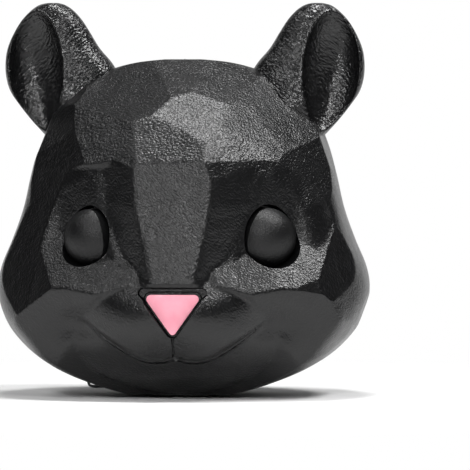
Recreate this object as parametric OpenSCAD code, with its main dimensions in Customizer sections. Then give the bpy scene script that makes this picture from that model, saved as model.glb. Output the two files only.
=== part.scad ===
// Hanging feeder in the shape of a large hewn squirrel's head.
// The head stands on a small flat foot, faces -Y and has its origin at the middle of the foot.

/* [Head] */
// Width of the head over the cheeks
head_w = 154.8; // [140:0.2:170]
// Height of the head from the foot to the crown
head_h = 140; // [128:0.5:152]
// Reach of the plain skull forwards of the ears, without the bridge and muzzle
face_d = 53.5; // [50:0.5:57]
// Reach of the skull backwards of the ears
back_d = 67.5; // [60:0.5:74]
// Wall of the moulding
wall = 3.6; // [2.8:0.1:5]
// Bluntness of the skull's level sections, 2 is an ellipse
bluntness = 2.3; // [2:0.05:2.6]

/* [Eyes] */
// Places of the left and the right eye across the face
eye_x = [-36.2, 38.6];
// Height of the eyes over the foot
eye_z = 67; // [62:0.5:74]
// Widths of the left and the right eye
eye_w = [20.2, 22.6];
// Heights of the left and the right eye
eye_h = [23.2, 24.2];
// How far a dome swells out of its rim
eye_dome = 7.5; // [5:0.5:9]
// Free gap around the eye in its socket
eye_gap = 1.5; // [1.3:0.1:2.2]
// How much further the socket reaches over the eye than under it
eye_rise = 1.1; // [0:0.1:1.2]
// Depth of the socket behind the orbit
socket_depth = 7; // [6:0.5:8]
// How far each eye looks out to its side
eye_turn = 31; // [26:1:38]

/* [Nose] */
// Width of the nose along its top edge
nose_w = 21.4; // [18:0.2:25]
// Height of the nose from its top edge to its tip
nose_h = 16.4; // [14:0.2:19]
// Height of the nose's tip over the foot
nose_z = 27.6; // [26:0.2:30]
// Thickness of the nose at its rim
nose_t = 3.4; // [2.5:0.1:4.5]
// Gap along the sides of the nose in its pocket
nose_gap = 1.4; // [0.8:0.1:2]
// Height of the dark slot between the nose and the brim over it
brim_gap = 3; // [2:0.1:4]

/* [Shanks and washers] */
// Diameter of the shanks of the eyes and the nose
shank_d = 5; // [4:0.2:6]
// Length of shank that stands inside the head
shank_out = 6; // [4:0.5:8]
// Diameter of the push-on washers
washer_d = 17; // [13:0.5:20]
// Thickness of the push-on washers
washer_t = 1.6; // [1.2:0.1:2.4]

/* [Ears] */
// Height of an ear from the middle of its root to its tip
ear_h = 52; // [46:0.5:58]
// Width of an ear above its root
ear_w = 46; // [40:0.5:50]
// Distance from the middle of the head to the middle of an ear's root
ear_x = 46; // [42:0.5:50]
// Height of the middle of an ear's root over the foot
ear_z = 111.5; // [109:0.5:114]
// Place of the ears from front to back
ear_y = 4; // [0:0.5:8]

/* [Neck opening] */
// Diameter of the opening that the squirrel puts its head through
neck_d = 74; // [60:1:80]
// How far the opening looks down
neck_tilt = 24; // [15:1:32]
// Height at which the opening's axis passes the middle of the head
neck_z = 68; // [64:0.5:74]

/* [Line] */
// Diameter of the hanging line
line_d = 1.2; // [1:0.1:1.4]
// Place of the crown hole behind the ears
crown_y = 24; // [20:0.5:27]
// How far the crown hole leans back
crown_tilt = 30; // [20:1:36]
// Bore of the crown eyelet
eyelet_bore = 2.4; // [2:0.1:3]
// Diameter of the eyelet's flange
eyelet_d = 8; // [7:0.5:10]
// Diameter of the loose stop washer
stop_d = 13; // [10:0.5:16]
// Thickness of the loose stop washer
stop_t = 1.5; // [1:0.1:2]
// Free travel of the stop washer between its knot and the crown
stop_travel = 6; // [4:0.5:8]
// Turns in the stored coil
coil_turns = 10; // [6:2:16]
// Layers in the stored coil
coil_layers = 2; // [2:2:4]
// Diameter across the middle of the coil's turns
coil_d = 14.4; // [12:0.2:17]

/* [Hidden] */
// Runs of the facets in the tessellated shapes
skull_columns = 76;
skull_steps = 46;
inner_columns = 36;
inner_steps = 16;
$fn = 48;

// Level sections of the skull in millimetres: height, half width, reach forwards, reach backwards
skull_rows = [
    [0, 18, 13, 24], [1.6, 25, 20.5, 31], [5, 36.5, 29.5, 41], [10.5, 50, 39.5, 50.5],
    [18, 62.2, 46.5, 57], [27.5, 71.4, 51.5, 61.5], [37, 76.2, 53.5, 64.5], [46, 77.4, 53.5, 66.5],
    [54.5, 75.8, 52.5, 67.5], [65, 71.4, 51.5, 67.5], [78, 66.8, 51.5, 66.5], [92, 63.6, 50.5, 63.5],
    [104.5, 60.2, 46, 59], [115, 55.8, 38.5, 53], [123.5, 49.8, 30.5, 46], [130.5, 41.3, 22, 37.5],
    [135.5, 31.3, 14, 28], [138.6, 20, 8, 18], [140, 8, 3.5, 8]
];
// The head that the sections were taken for: height, half width, reach forwards, reach backwards
skull_size = [140, 77.4, 53.5, 67.5];
// The sculpted face stands forward with the skull behind it
face_shift = face_d - skull_size[2];
last_row = len(skull_rows) - 1;
head_centre = [0, 4, 66];

// Facets hewn round the skull: bearing from the face towards +X, elevation, depth of the cut
crown_facet = [180, 90 - crown_tilt, 1.6];
skull_facets = [
    [0, 68, 1], [45, 62, 1.4], [-42, 62, 1.4], [62, 42, 1.6], [-58, 44, 1.6], [88, 48, 1.6],
    [-86, 48, 1.6], [40, 14, 1.4], [-40, 14, 1.4], [60, 20, 1.6], [-62, 22, 1.6], [86, 20, 1],
    [-86, 22, 1], [112, 34, 2], [-110, 36, 2], [118, 6, 1.6], [-116, 6, 1.6], [90, -20, 1],
    [-90, -20, 1], [150, 40, 2], [-140, 44, 2], crown_facet, [170, 22, 1.6], [-150, 16, 2],
    [145, 4, 2], [180, -10, 1.8], [-140, -16, 2], [128, -26, 2], [-112, -34, 2], [160, -36, 2],
    [-165, -38, 2], [62, -38, 1.2], [-62, -38, 1.2]
];

// Planes of the face: place across, height, how far the plane stands forward there,
// and its slopes across and upwards
brow_planes = [
    [8, 117.5, 34.8, -0.14, -1.11], [12.5, 98.8, 52.2, 0.04, -0.75], [12.5, 98.8, 52.2, -0.59, -0.7],
    [20.3, 118.5, 31.9, -0.76, -0.99], [0, 126.4, 25.4, 0.04, -1.75], [9, 125.5, 25.8, -0.31, -1.61],
    [-9.7, 117.6, 37.2, 0.31, -1.56], [-24, 104, 43, 0.55, -0.66], [14.3, 98, 51.7, -0.69, -0.35],
    [43, 104, 31, -1.15, -0.62], [-45, 104, 30, 1.2, -0.62], [-46, 84, 37, 1.1, -0.45],
    [52, 84, 34, -1.25, -0.5]
];
bridge_planes = [
    [0, 98.8, 52.3, 0.02, -0.15], [-15.6, 80, 55.2, 0.78, -0.1], [-15.6, 80, 55.2, 0.78, 0.02],
    [15.6, 80, 55.2, -0.7, -0.12], [15.6, 80, 55.2, -0.7, 0], [0, 48.5, 60.5, 0, 1.4]
];
cheek_planes = [
    [50, 46, 49.2, -0.46, -0.7], [50, 46, 49.2, -0.46, 0.42], [63, 50, 42.6, -1.7, 0],
    [28, 45, 57, -0.28, -0.6], [28, 45, 57, 0.1, 0.75], [16, 44, 58.5, 0.9, -0.35]
];
orbit_plane = [37, 71, 41.3, -0.68, -0.04];

function ramp(a, b, v) = let (t = min(1, max(0, (v - a) / (b - a)))) t * t * (3 - 2 * t);
function bell(v) = exp(-v * v);
function blunt(v) = sign(v) * pow(abs(v), 2 / bluntness);
function unit(v) = v / norm(v);

// Smooth run through the rows of a table at u = 0, 1, 2 ...
function row_at(rows, u) =
    let (n = len(rows), i = min(n - 2, floor(u)), t = u - i,
         p0 = rows[max(0, i - 1)], p1 = rows[i], p2 = rows[i + 1], p3 = rows[min(n - 1, i + 2)])
    0.5 * (2 * p1 + (p2 - p0) * t + (2 * p0 - 5 * p1 + 4 * p2 - p3) * t * t
           + (3 * p1 - p0 - 3 * p2 + p3) * t * t * t);

// A point of the plain skull, or of its hollow where inset is the wall taken off all round
function skull_point(u, bearing, inset = 0) =
    let (row = row_at(skull_rows, u),
         half_w = row[1] * head_w / 2 / skull_size[1],
         reach = cos(bearing) > 0 ? row[2] * face_d / skull_size[2] : row[3] * back_d / skull_size[3],
         z = row[0] * head_h / skull_size[0])
    [max(1, half_w - inset) * blunt(sin(bearing)), -max(1, reach - inset) * blunt(cos(bearing)),
     inset + z * (head_h - 2 * inset) / head_h];

function facet_normal(f) = [sin(f[0]) * cos(f[1]), -cos(f[0]) * cos(f[1]), sin(f[1])];
skull_samples = [for (u = [0 : 0.25 : last_row], b = [-180 : 6 : 174]) skull_point(u, b) - head_centre];
function facet_plane(f) = let (n = facet_normal(f)) [n, max([for (s = skull_samples) s * n]) - f[2]];
function face_plane(f) =
    let (n = unit([-f[3], -1, -f[4]])) [n, ([f[0], -f[2] - face_shift, f[1]] - head_centre) * n];
skull_cuts = [for (f = skull_facets) facet_plane(f)];
brow_cuts = [for (f = brow_planes) face_plane(f)];

// Hewing lays every point that stands over a plane down on it
function hew(p, cuts, i = 0) =
    i == len(cuts) ? p
    : let (over = (p - head_centre) * cuts[i][0] - cuts[i][1])
      hew(over > 0 ? p - over * cuts[i][0] : p, cuts, i + 1);

// The height on the head that the sections were taken for
function skull_share(z) = z * skull_size[0] / head_h;

// How far the plain skull stands forward at a place on the face
function skull_depth(x, z) =
    let (w = lookup(skull_share(z), [for (r = skull_rows) [r[0], r[1]]]) * head_w / 2 / skull_size[1],
         reach = lookup(skull_share(z), [for (r = skull_rows) [r[0], r[2]]]) * face_d / skull_size[2])
    reach * pow(max(0, 1 - pow(abs(x) / w, bluntness)), 1 / bluntness);

// How far a plane of the face stands forward, and the lowest of several
function stand(f, x, z) = f[2] + face_shift + (x - f[0]) * f[3] + (z - f[1]) * f[4];
function pad(planes, x, z) = min([for (f = planes) stand(f, x, z)]);

// Height of the line between the lips
function mouth_z(x) = 15.5 + 0.0115 * x * x - 1.6 * bell((abs(x) - 14) / 9) + 1.2 * bell(x / 4);
function face_point(x, z, deeper) = [x, deeper - face_stand(x, z, skull_depth(x, z)), z];

// The sculpted face over a skull that stands forward by depth at x, z
function face_stand(x, z, depth) =
    let (ax = abs(x),
         around_eye = bell(max(abs(z - 72) - 11, 0) / 9) * bell(max(abs(ax - 34) - 12, 0) / 8),
         hollow = max(depth - stand(orbit_plane, ax, z), 0) * around_eye,
         snout = 7.5 * bell(x / 25) * bell((z - 37) / 13),
         lips = (5 * bell((ax - 15) / 20) + 2 * bell(ax / 20)) * ramp(mouth_z(x) - 0.5, mouth_z(x) + 2.4, z)
                * ramp(62, 22, z) * ramp(50, 34, ax),
         chin = bell(ax / 34) * bell((z - 6) / 9),
         dimple = 2.6 * bell((ax - 38) / 6.5) * bell((z - 33) / 5.5))
    max(depth - hollow + snout + lips + chin, pad(bridge_planes, x, z), pad(cheek_planes, ax, z)) - dimple;

function outer_point(u, bearing) =
    let (p = hew(skull_point(u, bearing), skull_cuts),
         share = ramp(0.05, 0.5, cos(bearing)) * ramp(0, 1, u) * ramp(128, 110, skull_share(p.z)),
         depth = -p.y)
    hew([p.x, share > 0 ? -(depth + (face_stand(p.x, p.z, depth) - depth) * share) : p.y, p.z], brow_cuts);

// The hollow keeps the wall and the depth of the facets all round, and stays back behind the eyes
facet_room = 2;
eye_room = 8;
eye_room_reach = 20;
eye_mid = (eye_x[1] - eye_x[0]) / 2;
function inner_point(u, bearing) =
    let (p = skull_point(u, bearing, wall + facet_room),
         share = ramp(0.05, 0.5, cos(bearing)),
         back = eye_room * bell((abs(p.x) - eye_mid) / eye_room_reach)
                * bell((p.z - eye_z) / eye_room_reach))
    [p.x, p.y + back * share, p.z];

// Columns lie closer together on the face than on the back of the head
function bearing_at(i, n) = 360 * i / n - 25 * sin(360 * i / n);

// A closed skin over rings of points, each ring counterclockwise seen from above, lowest first
// Each patch is split along the diagonal that stands further out, so that facets keep straight edges
module skin(rings) {
    n = len(rings[0]);
    m = len(rings);
    points = [for (r = rings) each r];
    low = len(points);
    middle = function(ring) [for (k = [0 : 2]) [for (q = ring) q[k]] * [for (q = ring) 1] / len(ring)];
    core = (middle(rings[0]) + middle(rings[m - 1])) / 2;
    polyhedron(
        points = concat(points, [middle(rings[0]), middle(rings[m - 1])]),
        faces = concat(
            [for (j = [0 : m - 2], i = [0 : n - 1])
                let (a = j * n + i, b = j * n + (i + 1) % n,
                     across = norm((points[b] + points[a + n]) / 2 - core),
                     along = norm((points[a] + points[b + n]) / 2 - core))
                each across > along ? [[a, a + n, b], [b, a + n, b + n]]
                                    : [[a, a + n, b + n], [a, b + n, b]]],
            [for (i = [0 : n - 1]) [i, (i + 1) % n, low]],
            [for (i = [0 : n - 1]) [(m - 1) * n + (i + 1) % n, (m - 1) * n + i, low + 1]]),
        convexity = 8);
}

module skull_outside() {
    skin([for (j = [0 : skull_steps]) [for (i = [0 : skull_columns - 1])
        outer_point(last_row * j / skull_steps, bearing_at(i, skull_columns))]]);
}

module skull_inside() {
    skin([for (j = [0 : inner_steps]) [for (i = [0 : inner_columns - 1])
        inner_point(0.2 + (last_row - 0.2) * j / inner_steps, bearing_at(i, inner_columns))]]);
}

// Placing on the face: the middle of an eye on its orbit plane, looking out to its side
function eye_place(side) =
    let (x = eye_x[side < 0 ? 0 : 1]) [x, -stand(orbit_plane, abs(x), eye_z), eye_z];
module at_eye(side) { translate(eye_place(side)) rotate([90, 0, side * eye_turn]) children(); }
// The outline of an eye, an egg that is wider below and leans in at its top, grown by a gap
egg_steps = 48;
egg_taper = 0.14;
egg_lean = 8;
function egg(side, grow) =
    let (which = side < 0 ? 0 : 1, lean = side * egg_lean)
    [for (i = [0 : egg_steps - 1])
        let (a = 360 * i / egg_steps, x = (eye_w[which] / 2 + grow) * cos(a) * (1 - egg_taper * sin(a)),
             y = (eye_h[which] / 2 + grow) * sin(a))
        [x * cos(lean) - y * sin(lean), x * sin(lean) + y * cos(lean)]];
// Clearances: shanks in the head, washers on shanks, washers on their bosses
shank_fit = 0.15;
washer_fit = 0.1;
washer_seat = 0.05;
// How far the foot of a dome lies below the orbit
dome_sink = 1.4;
eye_boss_back = -socket_depth - wall;
// Bosses inside the head stand out round the washers that bear on them
boss_rim = 1.5;
// Length of a cut or a boss that has to run right through the shell where it stands
through = 40;

// The nose lies in a pocket in the front of the muzzle
nose_proud = 6.7;
nose_front = face_d + nose_proud;
nose_floor = nose_front - nose_t;
nose_corner_r = 1.8;
nose_tip_r = 1.4;
nose_top = nose_z + nose_h;
nose_shank_z = nose_z + 0.62 * nose_h;
nose_boss = 10;
nose_back = nose_floor - wall - nose_boss;
module at_nose() { rotate([90, 0, 0]) children(); }

// Outline of the nose seen from the front, grown by a gap: two blunt corners and a blunt tip
function arc(centre, r, from, to, steps = 6) =
    [for (k = [0 : steps]) let (a = from + (to - from) * k / steps) centre + r * [cos(a), sin(a)]];
function nose_outline(grow) =
    let (dx = nose_w / 2 - nose_corner_r, slope = atan2(nose_h - nose_corner_r - nose_tip_r, dx),
         top = nose_top - nose_corner_r, low = nose_z + nose_tip_r)
    concat(arc([dx, top], nose_corner_r + grow, slope - 90, 90),
           arc([-dx, top], nose_corner_r + grow, 90, 270 - slope),
           arc([0, low], nose_tip_r + grow, 270 - slope, 270 + slope));

// The pocket follows the nose, with a wider slot under the brim at its top
slot_end = 4.2;
slot_w = nose_w + 2 * slot_end;
slot_r = 2;
module nose_pocket() at_nose() {
    translate([0, 0, nose_floor]) linear_extrude(through) {
        polygon(nose_outline(nose_gap));
        polygon(concat(arc([slot_w / 2 - slot_r, nose_top + brim_gap - slot_r], slot_r, 0, 90),
                       arc([slot_r - slot_w / 2, nose_top + brim_gap - slot_r], slot_r, 90, 180),
                       arc([slot_r - slot_w / 2, nose_top - slot_r], slot_r, 180, 270),
                       arc([slot_w / 2 - slot_r, nose_top - slot_r], slot_r, -90, 0)));
    }
}

// The crown hole stands square on its own facet
crown_cut = facet_plane(crown_facet);
crown_z = head_centre.z + (crown_cut[1] - (crown_y - head_centre.y) * sin(crown_tilt)) / cos(crown_tilt);
module at_crown() { translate([0, crown_y, crown_z]) rotate([-crown_tilt, 0, 0]) children(); }
eyelet_wall = 0.9;
eyelet_flange = 0.8;
eyelet_fit = 0.05;
eyelet_seat = 0.3;
crown_boss = 5;
crown_wall = wall + crown_boss;
eyelet_roll_d = 6.2;
eyelet_roll = 0.6;

// The neck opening is cut from the middle of the hollow out through the back
neck_from = 10;
module neck_opening() {
    translate([0, neck_from, neck_z]) rotate([-90 - neck_tilt, 0, 0])
        cylinder(d = neck_d, h = 1.5 * back_d, $fn = 96);
}

module head_shell() color("#17181a") {
    difference() {
        skull_outside();
        difference() {
            skull_inside();
            for (side = [-1, 1]) at_eye(side)
                translate([0, eye_rise, eye_boss_back])
                    cylinder(d = max(eye_h) + 2 * eye_gap + 2 * wall, h = through);
            at_nose() translate([0, nose_shank_z, nose_back])
                cylinder(d = washer_d + 2 * boss_rim, h = through);
            at_crown() translate([0, 0, -crown_wall]) cylinder(d = stop_d + 2 * boss_rim, h = through);
        }
        neck_opening();
        for (side = [-1, 1]) {
            at_eye(side) translate([0, eye_rise, -socket_depth]) linear_extrude(through)
                polygon(egg(side, eye_gap));
            at_eye(side) translate([0, 0, -through]) cylinder(d = shank_d + 2 * shank_fit, h = through);
            ear_root(side, ear_fit);
        }
        nose_pocket();
        at_nose() translate([0, nose_shank_z, nose_floor - through + 1])
            cylinder(d = shank_d + 2 * shank_fit, h = through);
        at_crown() translate([0, 0, -through / 2])
            cylinder(d = eyelet_bore + 2 * eyelet_wall + 2 * eyelet_fit, h = through);
        at_crown() cylinder(d = eyelet_d + 2 * eyelet_seat, h = through);
        philtrum();
        mouth_crease();
    }
}

// A straight rod from one point to another
module rod(from, to, r, sides = 24) {
    run = to - from;
    translate(from) rotate([0, acos(run.z / norm(run)), atan2(run.y, run.x)])
        cylinder(r = r, h = norm(run), $fn = sides);
}
// The groove from the tip of the nose down to the lips
philtrum_r = 1.3;
module philtrum() {
    rod(face_point(0, nose_z + 2, -0.4), face_point(0, mouth_z(0) + 1, 0), philtrum_r, 16);
}
// The crease between the lips, shallower in the middle than at its ends
mouth_half = 39;
crease_r = 1.2;
crease_rise = 1;
crease_proud = 1.2;
module mouth_crease() {
    tube([for (x = [-mouth_half : 3 : mouth_half])
            face_point(x, mouth_z(x) + crease_rise, -crease_proud * pow(x / mouth_half, 2))],
        2 * crease_r, 6);
}

// Level sections of an ear in millimetres: height over the middle of its root, middle of the
// section, half width, reach forwards, reach backwards
ear_rows = [
    [-10, -8, 14, 11, 8], [-3, -4.5, 17.2, 12.4, 9.4], [3, -1.7, 19.9, 13.2, 10], [9, 1, 22, 13.6, 10],
    [15, 3.5, 23.6, 13.4, 9.6], [21, 5, 23.9, 12.6, 9], [27, 6.8, 22.4, 11.6, 8.2],
    [33, 8.9, 19.4, 10.4, 7.4], [39, 9.5, 16.3, 9, 6.6], [44.5, 9.6, 12.9, 7.4, 5.6],
    [48.5, 9.5, 9.3, 5.6, 4.4], [51, 9.5, 5.8, 3.6, 3], [52, 9.3, 2.4, 1.8, 1.8]
];
// The ear that the sections were taken for: height and width
ear_size = [52, 46];
ear_columns = 28;
ear_steps = 18;
cup_columns = 24;
cup_steps = 14;
// The cup: half width, depth, half height, turn out to the side, and its middle from the root's middle
cup = [12.1, 10, 26.4, 25];
cup_middle = [15.6, -8, 23.5];
cup_lean = 4.5;
ear_root_depth = 5.5;
ear_fit = 0.15;
// The head's slope at an ear: where it passes over the middle of the root, and its tilt
root_slope = [-2, 11.5, 45];
root_block = 120;

function ear_ring(u, side, grow) =
    let (row = row_at(ear_rows, u), wide = ear_w / ear_size[1])
    [for (i = [0 : ear_columns - 1])
        let (a = 360 * i / ear_columns, reach = sin(a) < 0 ? row[3] : row[4])
        [side * (ear_x + row[1] * wide) + (row[2] * wide + grow) * cos(a),
         ear_y + (reach + grow) * sin(a), ear_z + row[0] * ear_h / ear_size[0]]];
module ear_body(side, grow, from, to, steps) {
    skin([for (j = [0 : steps]) ear_ring(from + (to - from) * j / steps, side, grow)]);
}
// Everything deeper under the head's surface than the ear's root
module below_root(side) {
    translate([side * (ear_x + root_slope.x), ear_y, ear_z + root_slope.y])
        rotate([0, side * root_slope.z, 0])
            translate([-root_block / 2, -root_block / 2, -ear_root_depth - root_block]) cube(root_block);
}
module ear_root(side, grow) { ear_body(side, grow, 0, 6, 8); }

module ear_cup(side) {
    translate([side * (ear_x + cup_middle.x), ear_y + cup_middle.y, ear_z + cup_middle.z])
        rotate([0, side * cup_lean, side * cup[3]])
            skin([for (j = [1 : cup_steps - 1]) let (tip = -90 + 180 * j / cup_steps)
                [for (i = [0 : cup_columns - 1]) let (a = 360 * i / cup_columns)
                    [cup[0] * cos(tip) * cos(a), cup[1] * cos(tip) * sin(a), cup[2] * sin(tip)]]]);
}
module ear(side) color("#1b1c1e") {
    difference() {
        ear_body(side, 0, 0, len(ear_rows) - 1, ear_steps);
        ear_cup(side);
        below_root(side);
    }
}
module left_ear() ear(-1);
module right_ear() ear(1);

// A domed eye with a straight rim, a flat back and a shank through the socket's floor
eye_rim_h = socket_depth - dome_sink;
dome_r = (pow(max(eye_h) / 2, 2) + pow(eye_dome, 2)) / (2 * eye_dome);
module eye(side) color("#232427") at_eye(side) translate([0, 0, -socket_depth]) {
    intersection() {
        linear_extrude(eye_rim_h + eye_dome + 1) polygon(egg(side, 0));
        translate([0, 0, eye_rim_h + eye_dome - dome_r]) sphere(r = dome_r, $fn = 96);
    }
    translate([0, 0, -wall - shank_out]) cylinder(d = shank_d, h = wall + shank_out + eye_rim_h / 2);
}
module left_eye() eye(-1);
module right_eye() eye(1);

// A push-on washer: a flat ring with a raised collar that grips the shank
collar_wall = 2;
collar_h = 1.6;
module push_washer() {
    difference() {
        union() {
            cylinder(d = washer_d, h = washer_t);
            cylinder(d = shank_d + 2 * collar_wall, h = washer_t + collar_h);
        }
        translate([0, 0, -1]) cylinder(d = shank_d + 2 * washer_fit, h = washer_t + collar_h + 2);
    }
}
module eye_washer(side) color("#d8d8d4") at_eye(side)
    translate([0, 0, eye_boss_back - washer_seat]) rotate([180, 0, 0]) push_washer();
module left_eye_washer() eye_washer(-1);
module right_eye_washer() eye_washer(1);

// The nose: a blunt triangle with a softly domed front and a shank
nose_dome_r = 60;
nose_dome = 1.2;
module nose() color("#e9929d") at_nose() {
    intersection() {
        translate([0, 0, nose_floor]) linear_extrude(nose_t + 2 * nose_dome) polygon(nose_outline(0));
        translate([0, nose_shank_z, nose_front + nose_dome - nose_dome_r])
            sphere(r = nose_dome_r, $fn = 180);
    }
    translate([0, nose_shank_z, nose_back - shank_out])
        cylinder(d = shank_d, h = nose_floor - nose_back + shank_out + nose_t / 2);
}
module nose_washer() color("#d8d8d4") at_nose()
    translate([0, nose_shank_z, nose_back - washer_seat]) rotate([180, 0, 0]) push_washer();

// The eyelet in the crown: a flange outside, a tube through the wall and a rolled rim inside
module crown_eyelet() color("#8c8f93") at_crown() {
    difference() {
        union() {
            cylinder(d = eyelet_d, h = eyelet_flange);
            translate([0, 0, -crown_wall - eyelet_roll])
                cylinder(d = eyelet_bore + 2 * eyelet_wall, h = crown_wall + eyelet_roll);
            translate([0, 0, -crown_wall - eyelet_roll])
                cylinder(d = eyelet_roll_d, h = eyelet_roll - eyelet_fit);
        }
        translate([0, 0, -crown_wall - through / 2]) cylinder(d = eyelet_bore, h = crown_wall + through);
    }
}

// The loose washer rides on the line between the knot and the eyelet
stop_gap = 0.15;
stop_bore_gap = 0.5;
stop_rest = -crown_wall - eyelet_roll - stop_gap - stop_travel - stop_t;
stop_bore = line_d + 2 * stop_bore_gap;
module stop_washer() color("#b9bcc0") at_crown() translate([0, 0, stop_rest]) difference() {
    cylinder(d = stop_d, h = stop_t);
    translate([0, 0, -stop_t]) cylinder(d = stop_bore, h = 3 * stop_t);
}

// Tubes are swept along points with a frame that doesn't twist
function tangents(p) = [for (i = [0 : len(p) - 1]) unit(p[min(len(p) - 1, i + 1)] - p[max(0, i - 1)])];
function carry(t, i, n) =
    i == len(t) ? [] : let (m = unit(n - (n * t[i]) * t[i])) concat([m], carry(t, i + 1, m));
function tube_rings(p, d, sides) =
    let (t = tangents(p), first = unit(abs(t[0].z) < 0.9 ? cross(t[0], [0, 0, 1]) : cross(t[0], [1, 0, 0])),
         n = carry(t, 0, first))
    [for (i = [0 : len(p) - 1]) let (m = cross(t[i], n[i]))
        [for (k = [0 : sides - 1]) let (a = 360 * (k + 0.5) / sides)
            p[i] + d / 2 * (cos(a) * n[i] + sin(a) * m)]];
module tube(p, d, sides) { skin(tube_rings(p, d, sides)); }

// A knot in the line: three lobes that pass over and under each other
knot_scale = 0.95 * line_d;
knot_rise = knot_scale + line_d / 2;
knot_reach = 3 * knot_scale + line_d / 2;
knot_steps = 48;
knot_sides = 6;
function knot_point(t) =
    knot_scale * [sin(t) + 2 * sin(2 * t), cos(t) - 2 * cos(2 * t), -sin(3 * t)];
knot_path = [for (i = [0 : knot_steps - 1]) knot_point(360 * i / knot_steps)];
module knot() {
    p = knot_path;
    n = knot_steps;
    t = [for (i = [0 : n - 1]) unit(p[(i + 1) % n] - p[(i + n - 1) % n])];
    out = [for (i = [0 : n - 1]) unit(cross(t[i], cross([p[i].x, p[i].y, 4 * p[i].z + 0.01], t[i])))];
    polyhedron(
        points = [for (i = [0 : n - 1]) let (m = cross(t[i], out[i])) for (k = [0 : knot_sides - 1])
            let (a = 360 * k / knot_sides) p[i] + line_d / 2 * (cos(a) * out[i] + sin(a) * m)],
        faces = [for (i = [0 : n - 1], k = [0 : knot_sides - 1])
            let (a = i * knot_sides + k, b = i * knot_sides + (k + 1) % knot_sides,
                 c = (i + 1) % n * knot_sides + k, d = (i + 1) % n * knot_sides + (k + 1) % knot_sides)
            each [[a, c, b], [b, c, d]]],
        convexity = 10);
}
module stop_knot() color("#2b2c2e")
    at_crown() translate([0, 0, stop_rest - stop_gap - knot_rise]) knot();

// Least gap between stretches of a tube that lie more than a few rings apart, closed for a loop
function least_gap(p, d, apart, closed = false) =
    min([for (i = [0 : len(p) - 1 - apart], j = [i + apart : closed ? min(len(p) - 1, i + len(p) - apart)
                                                                    : len(p) - 1]) norm(p[j] - p[i])]) - d;

// The line comes out of the crown, lies over the back of the head beside the neck opening, hangs down
// from the widest place and lies on what the head stands on. Its points are in millimetres, chosen by hand
line_lift = 0.02;
floor_z = line_d / 2 + line_lift;
line_exit = 1;
line_sides = 8;
line_runs = 2;
line_route = [
    [-0.3, 25.6, 138.7], [-1.2, 26.7, 139.3], [-2.7, 27.7, 139.1], [-3.8, 28.4, 138.3], [-5, 28.8, 136.9],
    [-6.2, 29.2, 135.4], [-7.8, 30, 134.3], [-10.2, 31.4, 133.4], [-13.4, 33, 132.5], [-17.5, 34.9, 131.3],
    [-21.4, 36.7, 129.7], [-25, 38.8, 126.3], [-28.6, 41.2, 122], [-32.2, 43.9, 117.4], [-35.4, 46.7, 112.9],
    [-37.2, 48.7, 107.2], [-38.2, 49.8, 101.5], [-39.6, 51.5, 93.5],
    [-41.4, 53.6, 84], [-43.4, 55.9, 73.4], [-44.8, 57.5, 64.2], [-45.4, 58.5, 56], [-45.6, 58.7, 48],
    [-45.6, 58.7, 36], [-45.6, 58.7, 24], [-45.6, 58.7, 12], [-45.5, 58.2, 5], [-45, 56.6, 1.5],
    [-43.6, 54.6, 0.75], [-40.4, 52.9, 0.62], [-36, 52.5, 0.62], [-32, 52.55, 0.62]
];

// The rest of the line is put away in a flat coil that runs in from its rim and out again on the layer
// above at a steady rate, and climbs in the half turn where it reverses
coil_centre = [-26, 64];
coil_gap = 0.5;
coil_pitch = line_d + coil_gap;
coil_loops = coil_turns / coil_layers;
coil_out = coil_d / 2 + coil_pitch * coil_loops / 2;
coil_rings = 24;
coil_sides = 6;
coil_start = [coil_centre.x - 1.5 * line_d, coil_centre.y - coil_out, floor_z];
function coil_point(turn) =
    let (layer = floor(turn / coil_loops), run = turn - layer * coil_loops,
         r = coil_out - coil_pitch * (layer % 2 == 0 ? run : coil_loops - run),
         near = round(turn / coil_loops),
         climb = near > 0 && near < coil_layers ? ramp(-0.25, 0.25, turn - near * coil_loops) : 0,
         level = near > 0 && near < coil_layers ? near - 1 + climb : min(layer, coil_layers - 1),
         a = 360 * turn - 90)
    [coil_centre.x + r * cos(a), coil_centre.y + r * sin(a), floor_z + coil_pitch * level];
coil_end = [coil_centre.x, coil_centre.y - coil_out, floor_z + coil_pitch * (coil_layers - 1)];
coil_tail = [[1.5, 0, 0], [3, 0, -0.08], [4.5, -0.1, -0.25], [6, -0.2, -0.44], [7.5, -0.2, -0.54],
             [8.7, -0.2, -0.56]];
coil_path = concat([coil_start, coil_start + [0.5 * line_d, 0, 0]],
    [for (i = [0 : coil_turns * coil_rings]) coil_point(i / coil_rings)],
    [for (q = coil_tail) coil_end + q]);
echo(coil_least_gap_mm = least_gap(coil_path, line_d, coil_rings / 2));
echo(knot_least_gap_mm = least_gap(knot_path, line_d, knot_steps / 6, true));

function crown_point(h) = [0, crown_y + h * sin(crown_tilt), crown_z + h * cos(crown_tilt)];
line_inside = [for (h = [stop_rest - stop_gap : 3 : line_exit - 1.5]) crown_point(h)];
line_points = concat([crown_point(line_exit)], line_route, [coil_start, coil_start + [2 * line_d, 0, 0]]);
line_path = concat(line_inside,
    [for (u = [0 : 1 / line_runs : len(line_points) - 2.001]) row_at(line_points, u)], [coil_start]);
module hanging_line() color("#2b2c2e") tube(line_path, line_d, line_sides);
module line_coil() color("#2b2c2e") tube(coil_path, line_d, coil_sides);
knot_turn = 30;
tail_end = coil_end + coil_tail[len(coil_tail) - 1];
module end_knot() color("#2b2c2e")
    translate([tail_end.x + knot_reach + line_lift, tail_end.y, line_lift + knot_rise])
        rotate(knot_turn) knot();

head_shell();
left_ear();
right_ear();
left_eye();
right_eye();
left_eye_washer();
right_eye_washer();
nose();
nose_washer();
crown_eyelet();
stop_washer();
stop_knot();
hanging_line();
line_coil();
end_knot();
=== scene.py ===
import math

import bmesh
import bpy
import numpy as np
from mathutils import Matrix, Vector


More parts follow.
